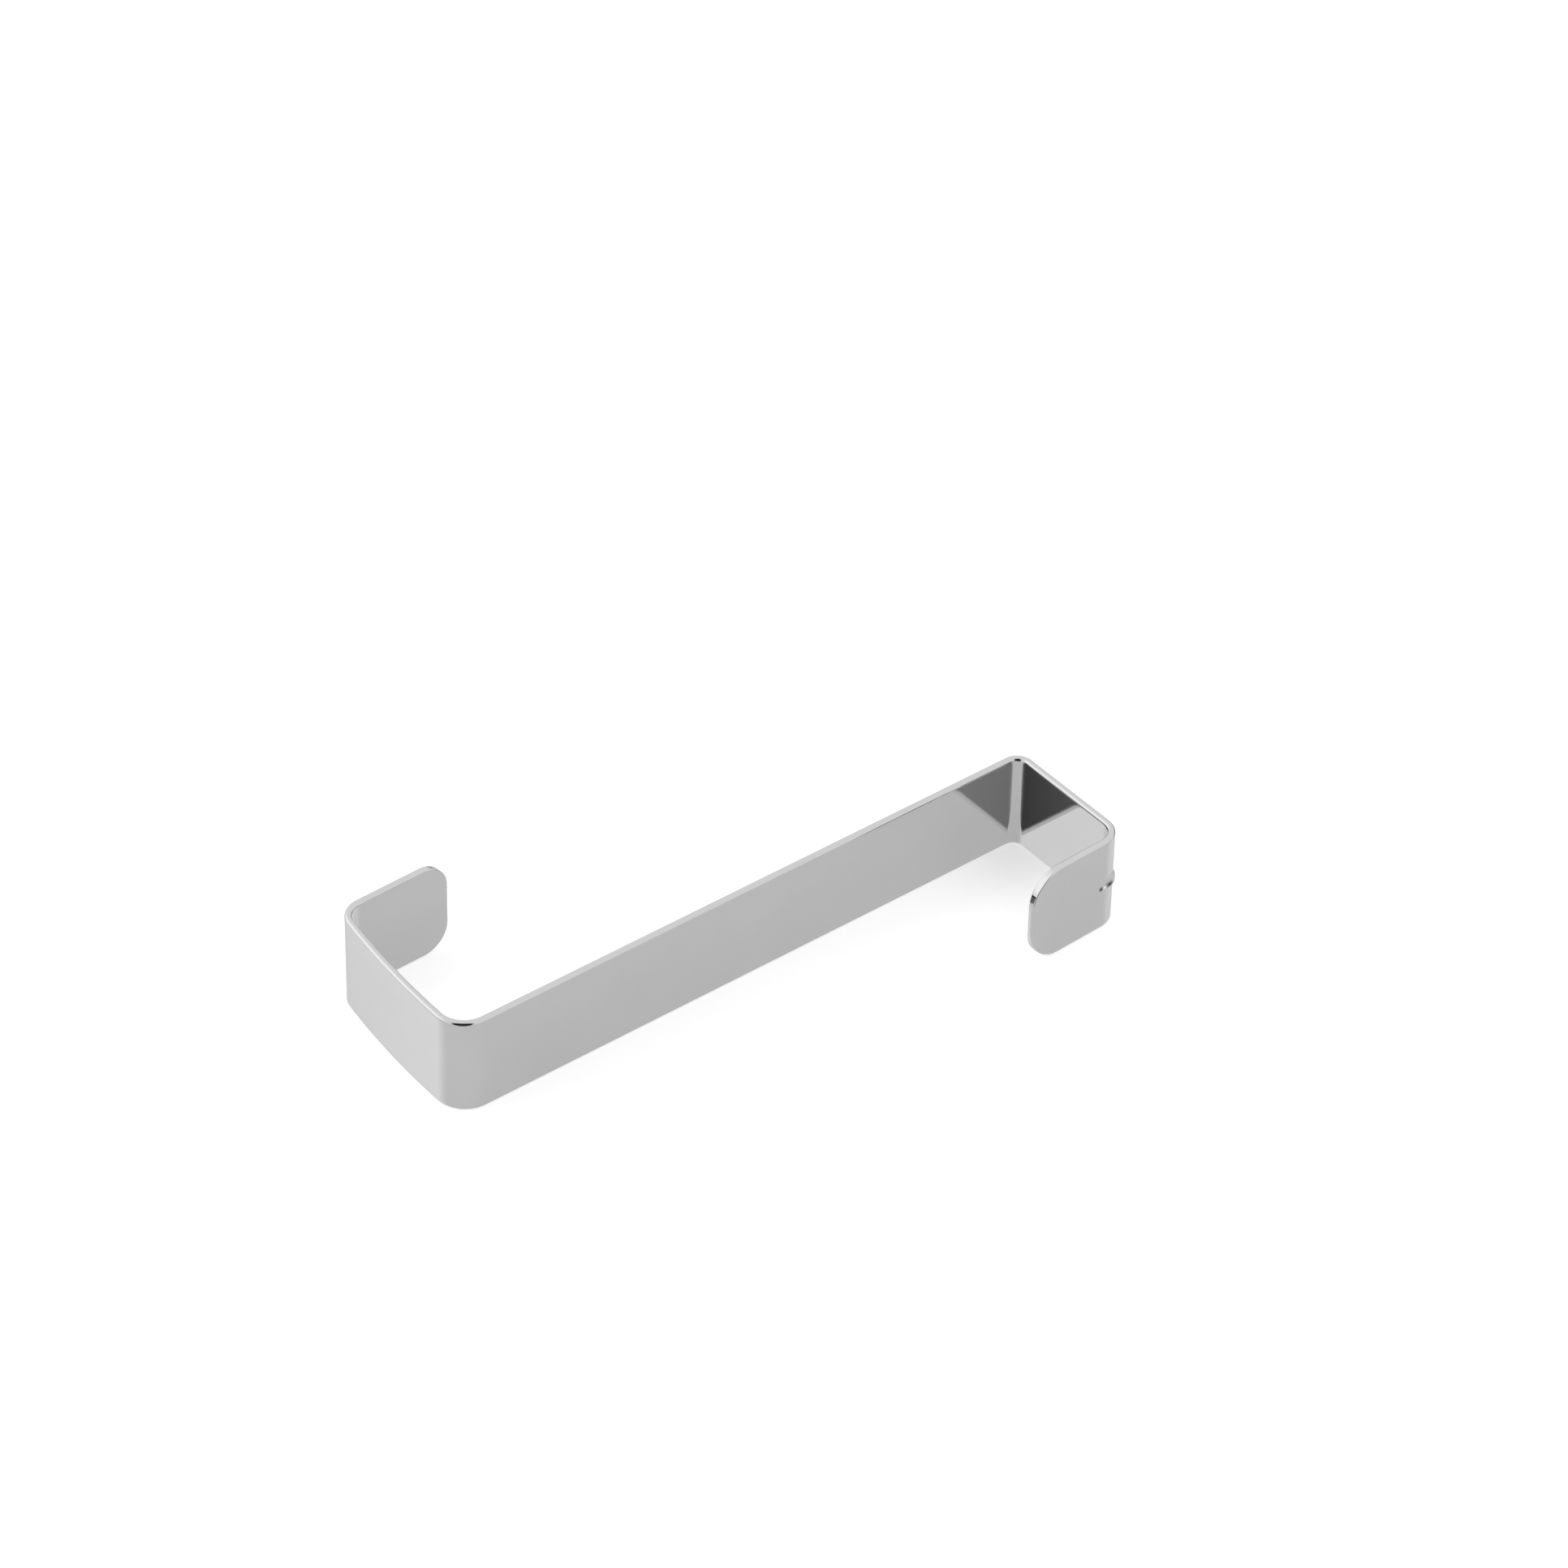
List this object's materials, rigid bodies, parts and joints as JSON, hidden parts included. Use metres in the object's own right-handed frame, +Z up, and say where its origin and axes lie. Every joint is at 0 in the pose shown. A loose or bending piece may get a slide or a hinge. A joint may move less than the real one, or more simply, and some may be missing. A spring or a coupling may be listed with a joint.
{
  "type": "over door hook",
  "caption": "Flat steel strip bent into a clip that hangs over the top of a door, a long plate and a coat hook, with rounded ends and a stiffening bead in the clip's bend.",
  "frame": {"origin": "middle of the clip's flat underside, at mid-width: where the middle of the door's top edge bears", "axes": "+Z up as the hook hangs, +Y through the door from its front to its back (the plate is on the -Y side of the door and the clip's lip on the +Y side), X along the strip's width"},
  "size_m": [0.026, 0.0908, 0.1669],
  "materials": {
    "chrome_plate": "bright chrome plate on steel strip, mirror-smooth"
  },
  "bodies": {
    "root": {"hook_strip": "chrome_plate"}
  },
  "joints": []
}
